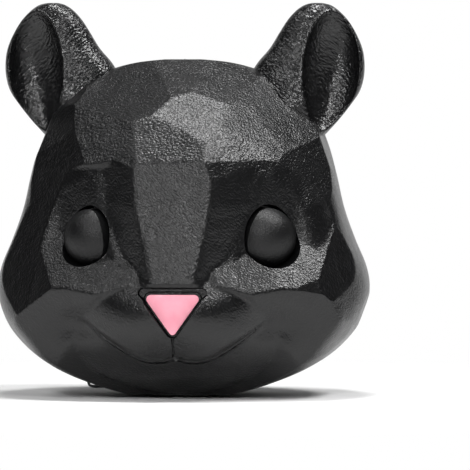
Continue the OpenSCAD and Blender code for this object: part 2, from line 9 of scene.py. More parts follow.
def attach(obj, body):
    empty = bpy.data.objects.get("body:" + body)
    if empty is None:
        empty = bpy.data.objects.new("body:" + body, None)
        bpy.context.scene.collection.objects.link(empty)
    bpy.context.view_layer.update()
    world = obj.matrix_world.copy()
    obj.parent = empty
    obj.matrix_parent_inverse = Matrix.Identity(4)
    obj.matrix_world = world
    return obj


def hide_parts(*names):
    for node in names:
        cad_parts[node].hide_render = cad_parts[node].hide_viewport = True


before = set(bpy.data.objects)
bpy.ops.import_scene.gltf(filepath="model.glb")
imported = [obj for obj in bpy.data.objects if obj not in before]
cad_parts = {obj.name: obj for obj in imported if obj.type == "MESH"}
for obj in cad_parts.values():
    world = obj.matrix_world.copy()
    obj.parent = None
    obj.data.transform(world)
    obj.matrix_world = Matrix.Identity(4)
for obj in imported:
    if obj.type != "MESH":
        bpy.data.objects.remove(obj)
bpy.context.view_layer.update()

mm = 0.001

# Camera. It looks almost straight at the face from far off through a long lens and a little from the
# right, as the photograph does. The head stands left of the middle of the picture.
photo_px = 470
mm_per_px = 0.417
middle_px = 184
floor_px = 395
aim = Vector((0, 0, 80 * mm))
view_distance = 3000 * mm
view_turn = math.radians(4.5)
view_rise = math.radians(1.5)
camera_data = bpy.data.cameras.new("camera")
camera_data.sensor_width = 36
camera_data.lens = 36 * view_distance / (photo_px * mm_per_px * mm)
camera_data.shift_x = (photo_px / 2 - middle_px) / photo_px
camera_data.shift_y = (floor_px - aim.z / mm / mm_per_px - photo_px / 2) / photo_px


def add_object(name, data):
    piece = bpy.data.objects.new(name, data)
    bpy.context.collection.objects.link(piece)
    return piece


camera = add_object("camera", camera_data)
camera.location = aim + view_distance * Vector((
    math.sin(view_turn) * math.cos(view_rise), -math.cos(view_turn) * math.cos(view_rise),
    math.sin(view_rise)))
camera.rotation_euler = (aim - camera.location).to_track_quat("-Z", "Y").to_euler()
bpy.context.scene.camera = camera

# Hanging line. A braided polyester line of 1.2 mm with a knot at each end. It comes out of the crown,
# lies over the back of the head beside the neck opening, hangs to the ground and is put away there in a
# flat coil.
line_d = 1.2
crown_top = np.array([0, 24, 136.56])
crown_tilt = 30
crown_axis = np.array([0, 0.5, 0.866])
line_exit = crown_top + 1.0 * crown_axis
line_route = [
    (-0.3, 25.6, 138.7), (-1.2, 26.7, 139.3), (-2.7, 27.7, 139.1), (-3.8, 28.4, 138.3), (-5, 28.8, 136.9),
    (-6.2, 29.2, 135.4), (-7.8, 30, 134.3), (-10.2, 31.4, 133.4), (-13.4, 33, 132.5), (-17.5, 34.9, 131.3),
    (-21.4, 36.7, 129.7), (-25, 38.8, 126.3), (-28.6, 41.2, 122), (-32.2, 43.9, 117.4), (-35.4, 46.7, 112.9),
    (-37.2, 48.7, 107.2), (-38.2, 49.8, 101.5), (-39.6, 51.5, 93.5), (-41.4, 53.6, 84), (-43.4, 55.9, 73.4),
    (-44.8, 57.5, 64.2), (-45.4, 58.5, 56), (-45.6, 58.7, 48), (-45.6, 58.7, 36), (-45.6, 58.7, 24),
    (-45.6, 58.7, 12), (-45.5, 58.2, 5), (-45, 56.6, 1.5), (-43.6, 54.6, 0.75), (-40.4, 52.9, 0.62),
    (-36, 52.5, 0.62), (-32, 52.55, 0.62)]
floor_z = 0.62
coil_centre = (-26, 64)
coil_d = 14.4
coil_pitch = line_d + 0.5
coil_loops = 5
coil_layers = 2
coil_steps = 24
coil_out = coil_d / 2 + coil_pitch * coil_loops / 2


def smooth_step(low, high, value):
    t = np.clip((value - low) / (high - low), 0, 1)
    return t * t * (3 - 2 * t)


def coil_point(turn):
    """A place in the coil, which runs in from its rim and out again on the layer above."""
    layer = min(int(turn // coil_loops), coil_layers - 1)
    run = turn - layer * coil_loops
    radius = coil_out - coil_pitch * (run if layer % 2 == 0 else coil_loops - run)
    level = smooth_step(-0.25, 0.25, turn - coil_loops)
    angle = math.radians(360 * turn - 90)
    return (coil_centre[0] + radius * math.cos(angle), coil_centre[1] + radius * math.sin(angle),
            floor_z + coil_pitch * level)


coil_start = coil_point(0)
coil_end = coil_point(coil_loops * coil_layers)
coil_tail = [(1.5, 0, 0), (3, 0, -0.08), (4.5, -0.1, -0.25), (6, -0.2, -0.44), (7.5, -0.2, -0.54),
             (8.7, -0.2, -0.56)]
line_points = [tuple(line_exit), *line_route, (coil_start[0] - 1.8, coil_start[1], coil_start[2])]
line_points += [coil_point(i / coil_steps) for i in range(coil_loops * coil_layers * coil_steps + 1)]
line_points += [tuple(np.add(coil_end, q)) for q in coil_tail]


def smooth_line(name, points, closed=False):
    """A round line of the braid's diameter through points given in millimetres."""
    data = bpy.data.curves.new(name, "CURVE")
    data.dimensions = "3D"
    data.bevel_depth = line_d / 2 * mm
    data.bevel_resolution = 3
    data.resolution_u = 4
    data.use_fill_caps = True
    spline = data.splines.new("BEZIER")
    spline.bezier_points.add(len(points) - 1)
    for bezier, point in zip(spline.bezier_points, points):
        bezier.co = Vector(point) * mm
        bezier.handle_left_type = bezier.handle_right_type = "AUTO"
    spline.use_cyclic_u = closed
    return add_object(name, data)


# A knot is three lobes of the line that pass over and under each other
knot_size = 0.95 * line_d
knot_steps = 36


def knot_points(middle, turn=0.0, tilt=0.0):
    place = Matrix.Rotation(math.radians(-tilt), 3, "X") @ Matrix.Rotation(math.radians(turn), 3, "Z")
    angles = [2 * math.pi * i / knot_steps for i in range(knot_steps)]
    return [tuple(Vector(middle) + place @ Vector((
        knot_size * (math.sin(t) + 2 * math.sin(2 * t)),
        knot_size * (math.cos(t) - 2 * math.cos(2 * t)),
        -knot_size * math.sin(3 * t)))) for t in angles]


knot_reach = 3 * knot_size + line_d / 2
knot_rise = knot_size + line_d / 2
tail_end = line_points[-1]
knot_gap = 0.02
end_knot = smooth_line("end_knot_braid", knot_points(
    (tail_end[0] + knot_reach + knot_gap, tail_end[1], knot_gap + knot_rise), turn=30), closed=True)
stop_depth = 17.0
stop_top = crown_top - stop_depth * crown_axis
stop_knot = smooth_line("stop_knot_braid", knot_points(
    stop_top - knot_rise * crown_axis, tilt=crown_tilt), closed=True)
inner_line = smooth_line("line_through_crown", [
    tuple(stop_top), tuple(crown_top - 7 * crown_axis), tuple(line_exit)])
free_line = smooth_line("braided_line", line_points)


def linear(hex_colour):
    """The linear colour of an sRGB hex value."""
    parts = [int(hex_colour[i:i + 2], 16) / 255 for i in (0, 2, 4)]
    return [c / 12.92 if c <= 0.04045 else ((c + 0.055) / 1.055) ** 2.4 for c in parts] + [1]


def add_node(material, kind, inputs=None, links=None, **settings):
    """Adds a shader node with its settings, its input values and links from other nodes' sockets."""
    node = material.node_tree.nodes.new(kind)
    for name, value in settings.items():
        setattr(node, name, value)
    for name, value in (inputs or {}).items():
        node.inputs[name].default_value = value
    for name, socket in (links or {}).items():
        material.node_tree.links.new(socket, node.inputs[name])
    return node


def new_material(name, **values):
    material = bpy.data.materials.new(name)
    material.use_nodes = True
    shader = material.node_tree.nodes["Principled BSDF"]
    for socket, value in values.items():
        shader.inputs[socket.replace("_", " ")].default_value = value
    return material, shader


def connect(material, socket, target):
    material.node_tree.links.new(socket, target)


def give_material(piece, material):
    piece.data.materials.clear()
    piece.data.materials.append(material)


# Braided polyester: dull black, with the crossing strands of the braid about every half millimetre
strands_per_mm = 1.9
braid, shader = new_material("braided_polyester", Base_Color=linear("2a2b2e"), Roughness=0.62,
                             Sheen_Weight=0.25)
where = add_node(braid, "ShaderNodeTexCoord")
strands = add_node(braid, "ShaderNodeTexVoronoi", {"Scale": strands_per_mm / mm},
                   {"Vector": where.outputs["Object"]})
strand_bump = add_node(braid, "ShaderNodeBump", {"Strength": 0.6, "Distance": 0.1 * mm},
                       {"Height": strands.outputs["Distance"]})
connect(braid, strand_bump.outputs["Normal"], shader.inputs["Normal"])
for piece in (end_knot, stop_knot, inner_line, free_line):
    give_material(piece, braid)
    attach(piece, "head")
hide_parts("hanging_line", "line_coil")
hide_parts("end_knot")
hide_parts("stop_knot")

# Head. The real one is a hollow moulding of black vinyl whose pattern was hewn in flat facets, with a
# muzzle, a bridge between deep eye sockets, a smile and a round neck opening behind.
head_h = 140
wall = 3.6
bluntness = 2.3
# Level sections of the skull: height, half width, reach forwards, reach backwards
skull_rows = np.array([
    [0, 18, 13, 24], [1.6, 25, 20.5, 31], [5, 36.5, 29.5, 41], [10.5, 50, 39.5, 50.5],
    [18, 62.2, 46.5, 57], [27.5, 71.4, 51.5, 61.5], [37, 76.2, 53.5, 64.5], [46, 77.4, 53.5, 66.5],
    [54.5, 75.8, 52.5, 67.5], [65, 71.4, 51.5, 67.5], [78, 66.8, 51.5, 66.5], [92, 63.6, 50.5, 63.5],
    [104.5, 60.2, 46, 59], [115, 55.8, 38.5, 53], [123.5, 49.8, 30.5, 46], [130.5, 41.3, 22, 37.5],
    [135.5, 31.3, 14, 28], [138.6, 20, 8, 18], [140, 8, 3.5, 8]])
last_row = len(skull_rows) - 1
head_centre = Vector((0, 4, 66))
# Facets hewn round the skull: bearing from the face towards +X, elevation, depth of the cut
skull_facets = [
    (0, 68, 1), (45, 62, 1.4), (-42, 62, 1.4), (62, 42, 1.6), (-58, 44, 1.6), (88, 48, 1.6),
    (-86, 48, 1.6), (40, 14, 1.4), (-40, 14, 1.4), (60, 20, 1.6), (-62, 22, 1.6), (86, 20, 1),
    (-86, 22, 1), (112, 34, 2), (-110, 36, 2), (118, 6, 1.6), (-116, 6, 1.6), (90, -20, 1),
    (-90, -20, 1), (150, 40, 2), (-140, 44, 2), (180, 90 - crown_tilt, 1.6), (170, 22, 1.6), (-150, 16, 2),
    (145, 4, 2), (180, -10, 1.8), (-140, -16, 2), (128, -26, 2), (-112, -34, 2), (160, -36, 2),
    (-165, -38, 2), (62, -38, 1.2), (-62, -38, 1.2)]
# Planes of the face: place across, height, how far the plane stands forward, its slopes across and up
brow_planes = [
    (8, 117.5, 34.8, -0.14, -1.11), (12.5, 98.8, 52.2, 0.04, -0.75), (12.5, 98.8, 52.2, -0.59, -0.7),
    (20.3, 118.5, 31.9, -0.76, -0.99), (0, 126.4, 25.4, 0.04, -1.75), (9, 125.5, 25.8, -0.31, -1.61),
    (-9.7, 117.6, 37.2, 0.31, -1.56), (-24, 104, 43, 0.55, -0.66), (14.3, 98, 51.7, -0.6, -0.36),
    (43, 104, 30.4, -1.15, -0.62), (-45, 104, 30, 1.2, -0.62), (-46, 84, 37, 1.1, -0.45),
    (52, 84, 34, -1.25, -0.5), (33, 117, 23.5, -0.91, -1.12)]
bridge_planes = [
    (0, 98.8, 52.3, 0.02, -0.15), (-15.6, 80, 55.2, 0.78, -0.1), (-15.6, 80, 55.2, 0.78, 0.02),
    (15.6, 80, 55.2, -0.7, -0.12), (15.6, 80, 55.2, -0.7, 0), (0, 48.5, 60.5, 0, 1.4)]
cheek_planes = [
    (50, 46, 49.2, -0.46, -0.7), (50, 46, 49.2, -0.46, 0.42), (63, 50, 42.6, -1.7, 0),
    (28, 45, 57, -0.28, -0.6), (28, 45, 57, 0.1, 0.75), (16, 44, 58.5, 0.9, -0.35)]
orbit_plane = (37, 71, 41.3, -0.68, -0.04)
brim_z = 48.4


def bell(value):
    return np.exp(-np.square(value))


def run_through(rows, u):
    """A smooth run through the rows of a table at u = 0, 1, 2 and between."""
    first = np.clip(np.floor(u).astype(int), 0, len(rows) - 2)
    t = (u - first)[:, None]
    before, here = rows[np.maximum(first - 1, 0)], rows[first]
    there, after = rows[first + 1], rows[np.minimum(first + 2, len(rows) - 1)]
    return 0.5 * (2 * here + (there - before) * t + (2 * before - 5 * here + 4 * there - after) * t ** 2
                  + (3 * here - before - 3 * there + after) * t ** 3)


def skull_points(u, bearing, inset=0.0):
    """Points of the plain skull, or of its hollow where inset is the wall taken off."""
    z, half_w, front, back = run_through(skull_rows, u).T
    across, ahead = np.sin(bearing), np.cos(bearing)
    reach = np.where(ahead > 0, front, back)
    return np.column_stack([
        np.maximum(1, half_w - inset) * np.sign(across) * np.abs(across) ** (2 / bluntness),
        -np.maximum(1, reach - inset) * np.sign(ahead) * np.abs(ahead) ** (2 / bluntness),
        inset + z * (head_h - 2 * inset) / head_h])


def stand(plane, x, z):
    """How far a plane of the face stands forward at a place."""
    return plane[2] + (x - plane[0]) * plane[3] + (z - plane[1]) * plane[4]


def lowest(planes, x, z):
    return np.min([stand(p, x, z) for p in planes], axis=0)


def mouth_z(x):
    """Height of the line between the lips."""
    return 15.5 + 0.0115 * x * x - 1.6 * bell((np.abs(x) - 14) / 9) + 1.2 * bell(x / 4)


def face_stand(x, z, depth):
    """How far the sculpted face stands forward over a skull that stands forward by depth. Each form is
    a bell or a slope, with its height, its middle and its width in millimetres."""
    ax = np.abs(x)
    around_eye = (bell(np.maximum(np.abs(z - 74) - 16, 0) / 6)
                  * bell(np.maximum(np.abs(ax - 34) - 12, 0) / 8))
    hollow = np.maximum(depth - stand(orbit_plane, ax, z), 0) * around_eye
    under_brow = 3 * smooth_step(99.5, 94.5, z) * smooth_step(58, 80, z) * smooth_step(62, 50, ax)
    hollow = np.maximum(hollow, under_brow)
    snout = 7.5 * bell(x / 25) * bell((z - 37) / 13)
    lips = ((6.2 * bell((ax - 15) / 20) + 2 * bell(ax / 20))
            * smooth_step(mouth_z(x) - 0.6, mouth_z(x) + 3.2, z)
            * smooth_step(62, 22, z) * smooth_step(50, 34, ax))
    chin = bell(ax / 34) * bell((z - 6) / 9)
    dimple = 3.6 * bell((ax - 40) / 11) * bell((z - 31) / 7)
    brim = (0.6 * bell((z - brim_z) / 1.1) + 0.8 * bell((z - 51) / 9)) * smooth_step(15, 11.5, ax)
    return np.maximum(np.maximum(depth - hollow + snout + lips + chin, lowest(bridge_planes, x, z)),
                      lowest(cheek_planes, ax, z)) - dimple + brim


def skull_depth(x, z):
    """How far the plain skull stands forward at a place on the face."""
    half_w = np.interp(z, skull_rows[:, 0], skull_rows[:, 1])
    reach = np.interp(z, skull_rows[:, 0], skull_rows[:, 2])
    return reach * np.maximum(0, 1 - (np.abs(x) / half_w) ** bluntness) ** (1 / bluntness)


def face_point(x, z, deeper=0.0):
    return (x, deeper - float(face_stand(x, z, skull_depth(x, z))), z)


def select_only(*pieces):
    bpy.ops.object.select_all(action="DESELECT")
    for piece in pieces:
        piece.select_set(True)
    bpy.context.view_layer.objects.active = pieces[0]


def mesh_points(piece):
    points = np.empty(len(piece.data.vertices) * 3)
    piece.data.vertices.foreach_get("co", points)
    return points.reshape(-1, 3)


def set_mesh_points(piece, points):
    piece.data.vertices.foreach_set("co", np.ascontiguousarray(points, float).ravel())
    piece.data.update()


def ball(name, columns, rings):
    """A round primitive, with the share of its way up and the bearing of each of its vertices."""
    bpy.ops.object.select_all(action="DESELECT")
    bpy.ops.mesh.primitive_uv_sphere_add(segments=columns, ring_count=rings, radius=1)
    piece = bpy.context.object
    piece.name = name
    x, y, z = mesh_points(piece).T
    step = np.rint(np.arccos(np.clip(-z, -1, 1)) / math.pi * rings)
    up = np.clip((step - 1) / (rings - 2), 0, 1)
    around = np.where((step == 0) | (step == rings), np.nan, np.arctan2(x, -y))
    return piece, up, around


def move_mesh(piece, matrix):
    piece.data.transform(matrix)
    piece.data.update()
    return piece


head, up, around = ball("hewn_vinyl_head", columns=330, rings=250)
pole = np.isnan(around)
# Columns lie closer together on the face than on the back of the head
crowding = math.radians(25)
bearing = np.nan_to_num(around) - crowding * np.sin(np.nan_to_num(around))
skull = skull_points(up * last_row, bearing)
skull[pole] = np.column_stack([0 * up[pole], 0 * up[pole], up[pole] * head_h])
set_mesh_points(head, skull * mm)
facing = head.data.attributes.new("facing", "FLOAT", "POINT")
facing.data.foreach_set("value", np.cos(bearing))
# Directions of the strokes in degrees, which the facets take in turn, and in radians between facets
stroke_runs = [-48, 38, -35, 52, -58, 44]
plain_run = -0.7
head.data.attributes.new("strokes", "FLOAT", "POINT").data.foreach_set(
    "value", np.full(len(skull), plain_run))
low_share = head.data.attributes.new("low_share", "FLOAT", "POINT")
low_share.data.foreach_set("value", smooth_step(0, 1, up * last_row) * (~pole))

sample_u, sample_bearing = np.meshgrid(np.arange(0, last_row + 0.1, 0.25),
                                       np.radians(np.arange(-180, 180, 6)))
samples = skull_points(sample_u.ravel(), sample_bearing.ravel()) - np.array(head_centre)


def facet_plane(facet):
    """Normal and distance from the head's centre of a facet hewn round the skull."""
    turn, rise = math.radians(facet[0]), math.radians(facet[1])
    normal = Vector((math.sin(turn) * math.cos(rise), -math.cos(turn) * math.cos(rise), math.sin(rise)))
    return normal, float((samples @ np.array(normal)).max()) - facet[2]


def face_plane(plane):
    normal = Vector((-plane[3], -1, -plane[4])).normalized()
    return normal, (Vector((plane[0], -plane[2], plane[1])) - head_centre).dot(normal)


def hew(piece, planes):
    """Cuts an edge round each facet and lays what stands over its plane down on it, and notes the
    direction in which the facet's own fine strokes run."""
    select_only(piece)
    bpy.ops.object.mode_set(mode="EDIT")
    for i, (normal, distance) in enumerate(planes):
        on_plane = (head_centre + distance * normal) * mm
        bpy.ops.mesh.select_all(action="SELECT")
        bpy.ops.mesh.bisect(plane_co=on_plane, plane_no=normal, threshold=1e-7)
        cut = bmesh.from_edit_mesh(piece.data)
        strokes = cut.verts.layers.float["strokes"]
        run = math.radians(stroke_runs[i % len(stroke_runs)])
        level = on_plane.dot(normal)
        for vertex in cut.verts:
            over = vertex.co.dot(normal) - level
            if over > 0:
                vertex.co -= over * normal
                vertex[strokes] = run
        bmesh.update_edit_mesh(piece.data)
    bpy.ops.object.mode_set(mode="OBJECT")


def on_face(facing):
    """The share of the face's forms that a place takes, from the cosine of its bearing."""
    return smooth_step(0.05, 0.5, facing)


hew(head, [facet_plane(f) for f in skull_facets])
points = mesh_points(head) / mm
share = np.empty(len(points))
head.data.attributes["facing"].data.foreach_get("value", share)
low = np.empty(len(points))
head.data.attributes["low_share"].data.foreach_get("value", low)
x, depth, z = points[:, 0], -points[:, 1], points[:, 2]
share = on_face(share) * low * smooth_step(128, 110, z)
points[:, 1] = -(depth + (face_stand(x, z, depth) - depth) * share)
set_mesh_points(head, points * mm)
hew(head, [face_plane(p) for p in brow_planes])


def finish_with(piece, kind, **settings):
    """Adds a modifier with its settings and applies it."""
    select_only(piece)
    modifier = piece.modifiers.new(kind.lower(), kind)
    for name, value in settings.items():
        setattr(modifier, name, value)
    bpy.ops.object.modifier_apply(modifier=modifier.name)


# The mould rounds the hewn edges a little
finish_with(head, "SMOOTH", factor=0.5, iterations=5)

# The cutter of the hollow stays 2 mm inside the wall, and further in behind the eye sockets
hollow_inset = wall + 2
hollow, up, around = ball("hollow_cutter", columns=72, rings=44)
pole = np.isnan(around)
bearing = np.nan_to_num(around)
inside = skull_points(0.2 + (last_row - 0.2) * up, bearing, hollow_inset)
back_off = 8 * bell((np.abs(inside[:, 0]) - 37) / 20) * bell((inside[:, 2] - 67) / 20)
inside[:, 1] += back_off * on_face(np.cos(bearing))
for end in (0, 1):
    ring = (up == end) & ~pole
    inside[(up == end) & pole] = inside[ring].mean(axis=0)
set_mesh_points(hollow, inside * mm)


def rod(name, start, end, radius, sides=48):
    """A closed rod between two points given in millimetres."""
    start, end = Vector(start), Vector(end)
    bpy.ops.object.select_all(action="DESELECT")
    bpy.ops.mesh.primitive_cylinder_add(vertices=sides, radius=radius * mm,
                                        depth=(end - start).length * mm)
    piece = bpy.context.object
    piece.name = name
    turn = (end - start).to_track_quat("Z", "Y").to_matrix().to_4x4()
    return move_mesh(piece, Matrix.Translation((start + end) / 2 * mm) @ turn)


def subtract(piece, cutters):
    """Cuts all the cutters out of a piece at once and takes them away."""
    group = bpy.data.collections.new("cutters")
    for cutter in cutters:
        group.objects.link(cutter)
    finish_with(piece, "BOOLEAN", operation="DIFFERENCE", operand_type="COLLECTION", collection=group,
                solver="MANIFOLD")
    for cutter in cutters:
        bpy.data.objects.remove(cutter)
    bpy.data.collections.remove(group)


# Bosses inside the hollow carry the washers of the eyes and the nose and the eyelet of the crown
eye_x = (-36.2, 38.6)
eye_z = 67
eye_turn = 31
eye_w = (20.2, 22.6)
eye_h = (23.2, 24.2)
eye_gap = 1
eye_rise = 0.6
socket_depth = 7
shank_d = 5
shank_hole_r = shank_d / 2 + 0.15
washer_d = 17


def eye_matrix(side):
    """The middle of an eye on its orbit plane, with local Z looking out of the head."""
    x = eye_x[0 if side < 0 else 1]
    place = Vector((x, -stand(orbit_plane, abs(x), eye_z), eye_z)) * mm
    return (Matrix.Translation(place) @ Matrix.Rotation(math.radians(side * eye_turn), 4, "Z")
            @ Matrix.Rotation(math.radians(90), 4, "X"))


nose_w = 21.4
nose_h = 16.4
nose_z = 27.6
nose_t = 3.4
nose_front = 60.2
nose_floor = nose_front - nose_t
nose_top = nose_z + nose_h
nose_shank_z = nose_z + 0.62 * nose_h
nose_boss_h = 10
nose_back = nose_floor - wall - nose_boss_h
crown_boss_h = 5
crown_wall = wall + crown_boss_h
eye_boss_r = max(eye_h) / 2 + eye_gap + wall
nose_boss_r = washer_d / 2 + 1.5
crown_boss_r = 8
crown_out = crown_top + 20 * crown_axis
crown_in = crown_top - 20 * crown_axis
eye_out = 30
nose_out = 80
bosses = [move_mesh(rod("eye_boss", (0, eye_rise, -socket_depth - wall), (0, eye_rise, eye_out), eye_boss_r),
                    eye_matrix(side)) for side in (-1, 1)]
bosses.append(rod("nose_boss", (0, -nose_back, nose_shank_z), (0, -nose_out, nose_shank_z), nose_boss_r))
bosses.append(rod("crown_boss", crown_top - crown_wall * crown_axis, crown_out, crown_boss_r))
subtract(hollow, bosses)

neck_tilt = math.radians(24)
neck_from = Vector((0, 10, 68))
neck_to = neck_from + 100 * Vector((0, math.cos(neck_tilt), -math.sin(neck_tilt)))
neck_r = 37
cutters = [hollow, rod("neck_cutter", neck_from, neck_to, neck_r, 128)]


def egg(side, grow, rise=0.0, taper=0.14, lean=8, steps=96):
    """The outline of an eye, wider below and leaning in at its top, grown by a gap."""
    half_w, half_h = (size[0 if side < 0 else 1] / 2 + grow for size in (eye_w, eye_h))
    turn = Matrix.Rotation(math.radians(side * lean), 2)
    angles = [2 * math.pi * i / steps for i in range(steps)]
    return [tuple(turn @ Vector((half_w * math.cos(a) * (1 - taper * math.sin(a)), half_h * math.sin(a)))
                  + Vector((0, rise))) for a in angles]


def prism(name, outline, low, high, inset=0.0):
    """An outline in millimetres extruded along Z, drawn in at its lower end by a bevelled edge."""
    data = bpy.data.meshes.new(name)
    data.from_pydata([(x * mm, y * mm, high * mm) for x, y in outline], [], [list(range(len(outline)))])
    piece = add_object(name, data)
    select_only(piece)
    bpy.ops.object.mode_set(mode="EDIT")
    bpy.ops.mesh.select_all(action="SELECT")
    bpy.ops.mesh.extrude_region_move(TRANSFORM_OT_translate={"value": (0, 0, (low - high + inset) * mm)})
    if inset:
        bpy.ops.mesh.inset(thickness=inset * mm, depth=inset * mm)
    bpy.ops.mesh.select_all(action="SELECT")
    bpy.ops.mesh.normals_make_consistent(inside=False)
    bpy.ops.object.mode_set(mode="OBJECT")
    return piece


for side in (-1, 1):
    socket = prism("socket_cutter", egg(side, eye_gap, eye_rise), -socket_depth, eye_out, 0.8)
    cutters.append(move_mesh(socket, eye_matrix(side)))
    cutters.append(move_mesh(rod("shank_hole", (0, 0, -20), (0, 0, 0), shank_hole_r), eye_matrix(side)))


def arc(centre, radius, start, end, steps=8):
    angles = [math.radians(start + (end - start) * k / steps) for k in range(steps + 1)]
    return [(centre[0] + radius * math.cos(a), centre[1] + radius * math.sin(a)) for a in angles]


def nose_outline(grow, corner=1.8, tip=1.4):
    """The nose seen from the front: two blunt corners and a blunt tip."""
    dx = nose_w / 2 - corner
    slope = math.degrees(math.atan2(nose_h - corner - tip, dx))
    return (arc((dx, nose_top - corner), corner + grow, slope - 90, 90)
            + arc((-dx, nose_top - corner), corner + grow, 90, 270 - slope)
            + arc((0, nose_z + tip), tip + grow, 270 - slope, 270 + slope))


face_front = Matrix.Rotation(math.radians(90), 4, "X")
nose_gap = 1.4
brim_gap = 3
slot_half = nose_w / 2 + 3.6
slot_r = 2.4
slot_droop = 4.6
slot_foot = slot_half * 0.66
brim_slot = (arc((slot_half - slot_r, nose_top + brim_gap - slot_r), slot_r, -20, 90)
             + arc((slot_r - slot_half, nose_top + brim_gap - slot_r), slot_r, 90, 200)
             + [(-slot_foot, nose_top - slot_droop), (slot_foot, nose_top - slot_droop)])
for outline in (nose_outline(nose_gap), brim_slot):
    cutters.append(move_mesh(prism("pocket_cutter", outline, nose_floor, nose_out, 0.5), face_front))
cutters.append(rod("shank_hole", (0, -20, nose_shank_z), (0, -nose_floor - 1, nose_shank_z), shank_hole_r))


def groove_cutter(name, places, radii):
    """A round cutter that follows places in millimetres, with its radius at each."""
    data = bpy.data.curves.new(name, "CURVE")
    data.dimensions = "3D"
    data.bevel_depth = mm
    data.use_fill_caps = True
    run = data.splines.new("POLY")
    run.points.add(len(places) - 1)
    for point, place, radius in zip(run.points, places, radii):
        point.co = (*[c * mm for c in place], 1)
        point.radius = radius
    piece = add_object(name, data)
    select_only(piece)
    bpy.ops.object.convert(target="MESH")
    bpy.ops.object.mode_set(mode="EDIT")
    bpy.ops.mesh.select_all(action="SELECT")
    bpy.ops.mesh.remove_doubles(threshold=1e-6)
    bpy.ops.mesh.normals_make_consistent(inside=False)
    bpy.ops.object.mode_set(mode="OBJECT")
    return piece


# The groove under the nose, and the crease between the lips, which is deepest in the middle
groove_r = 0.75
crease_r = 2
crease_end_r = 0.7
groove_z = np.arange(nose_z + 2, mouth_z(0), -1)
cutters.append(groove_cutter("philtrum_cutter", [face_point(0, z, 0.1) for z in groove_z],
                             np.full(len(groove_z), groove_r)))
mouth_half = 34
crease_x = np.arange(-mouth_half, mouth_half + 0.1, 1.5)
crease_share = np.abs(crease_x) / mouth_half
cutters.append(groove_cutter("crease_cutter", [face_point(x, mouth_z(x) + 0.6, -1 * share ** 2)
                                               for x, share in zip(crease_x, crease_share)],
                             crease_r - (crease_r - crease_end_r) * crease_share ** 2))

# Seats that take the roots of the ears. Sections of an ear: height over the middle of its root, middle
# of the section, half width, reach forwards, reach backwards
ear_rows = np.array([
    [-10, -8, 14, 11, 8], [-3, -4.5, 17.2, 12.4, 9.4], [3, -1.7, 19.9, 13.2, 10], [9, 1, 22, 13.6, 10],
    [15, 3.5, 23.6, 13.4, 9.6], [21, 5, 23.9, 12.6, 9], [27, 6.8, 22.4, 11.6, 8.2],
    [33, 8.9, 19.4, 10.4, 7.4], [39, 9.5, 16.3, 9, 6.6], [44.5, 9.6, 12.9, 7.4, 5.6],
    [48.5, 9.5, 9.3, 5.6, 4.4], [51, 9.5, 5.8, 3.6, 3], [52, 9.3, 2.4, 1.8, 1.8]])
ear_x = 46
ear_y = 4
ear_z = 111.5
root_slope = (-2, 11.5, 45)
root_depth = 5.5
ear_fit = 0.15


def ear_root_matrix(side):
    place = Vector((side * (ear_x + root_slope[0]), ear_y, ear_z + root_slope[1])) * mm
    return (Matrix.Translation(place)
            @ Matrix.Rotation(math.radians(side * root_slope[2]), 4, "Y"))


def root_cutter(side, low, high):
    """A wide block over or under the level to which an ear's root goes into the head."""
    block = prism("root_cutter", [(-60, -60), (60, -60), (60, 60), (-60, 60)], low, high)
    return move_mesh(block, ear_root_matrix(side))


def ear_form(name, side, grow=0.0):
    """The full form of an ear without its cup, grown by a gap."""
    form, up, around = ball(name, columns=96, rings=80)
    pole = np.isnan(around)
    z, middle, half_w, front, back = run_through(ear_rows, up * (len(ear_rows) - 1)).T
    bearing = np.nan_to_num(around)
    reach = np.where(np.cos(bearing) > 0, front, back)
    shape = np.column_stack([side * (ear_x + middle) + (half_w + grow) * np.sin(bearing),
                             ear_y - (reach + grow) * np.cos(bearing), ear_z + z])
    shape[pole, 0] = side * (ear_x + middle[pole])
    shape[pole, 1] = ear_y
    set_mesh_points(form, shape * mm)
    return form


for side in (-1, 1):
    seat = ear_form("ear_seat", side, ear_fit)
    subtract(seat, [root_cutter(side, -60, -root_depth)])
    cutters.append(seat)

# Crown hole with the seat of its eyelet
eyelet_tube_r = 2.1
eyelet_flange_r = 4
eyelet_gap = 0.05
flange_gap = 0.3
cutters.append(rod("crown_hole", crown_in, crown_out, eyelet_tube_r + eyelet_gap))
cutters.append(rod("eyelet_seat", crown_top, crown_out, eyelet_flange_r + flange_gap))
subtract(head, cutters)
select_only(head)
bpy.ops.object.shade_smooth_by_angle(angle=math.radians(38))
# Each face takes one direction of strokes, so that none bends where two facets meet
by_vertex = np.empty(len(head.data.vertices))
head.data.attributes["strokes"].data.foreach_get("value", by_vertex)
corners = np.empty(len(head.data.loops), int)
head.data.loops.foreach_get("vertex_index", corners)
first_corner = np.empty(len(head.data.polygons), int)
head.data.polygons.foreach_get("loop_start", first_corner)
head.data.attributes.remove(head.data.attributes["strokes"])
head.data.attributes.new("strokes", "FLOAT", "FACE").data.foreach_set(
    "value", np.maximum.reduceat(by_vertex[corners], first_corner))


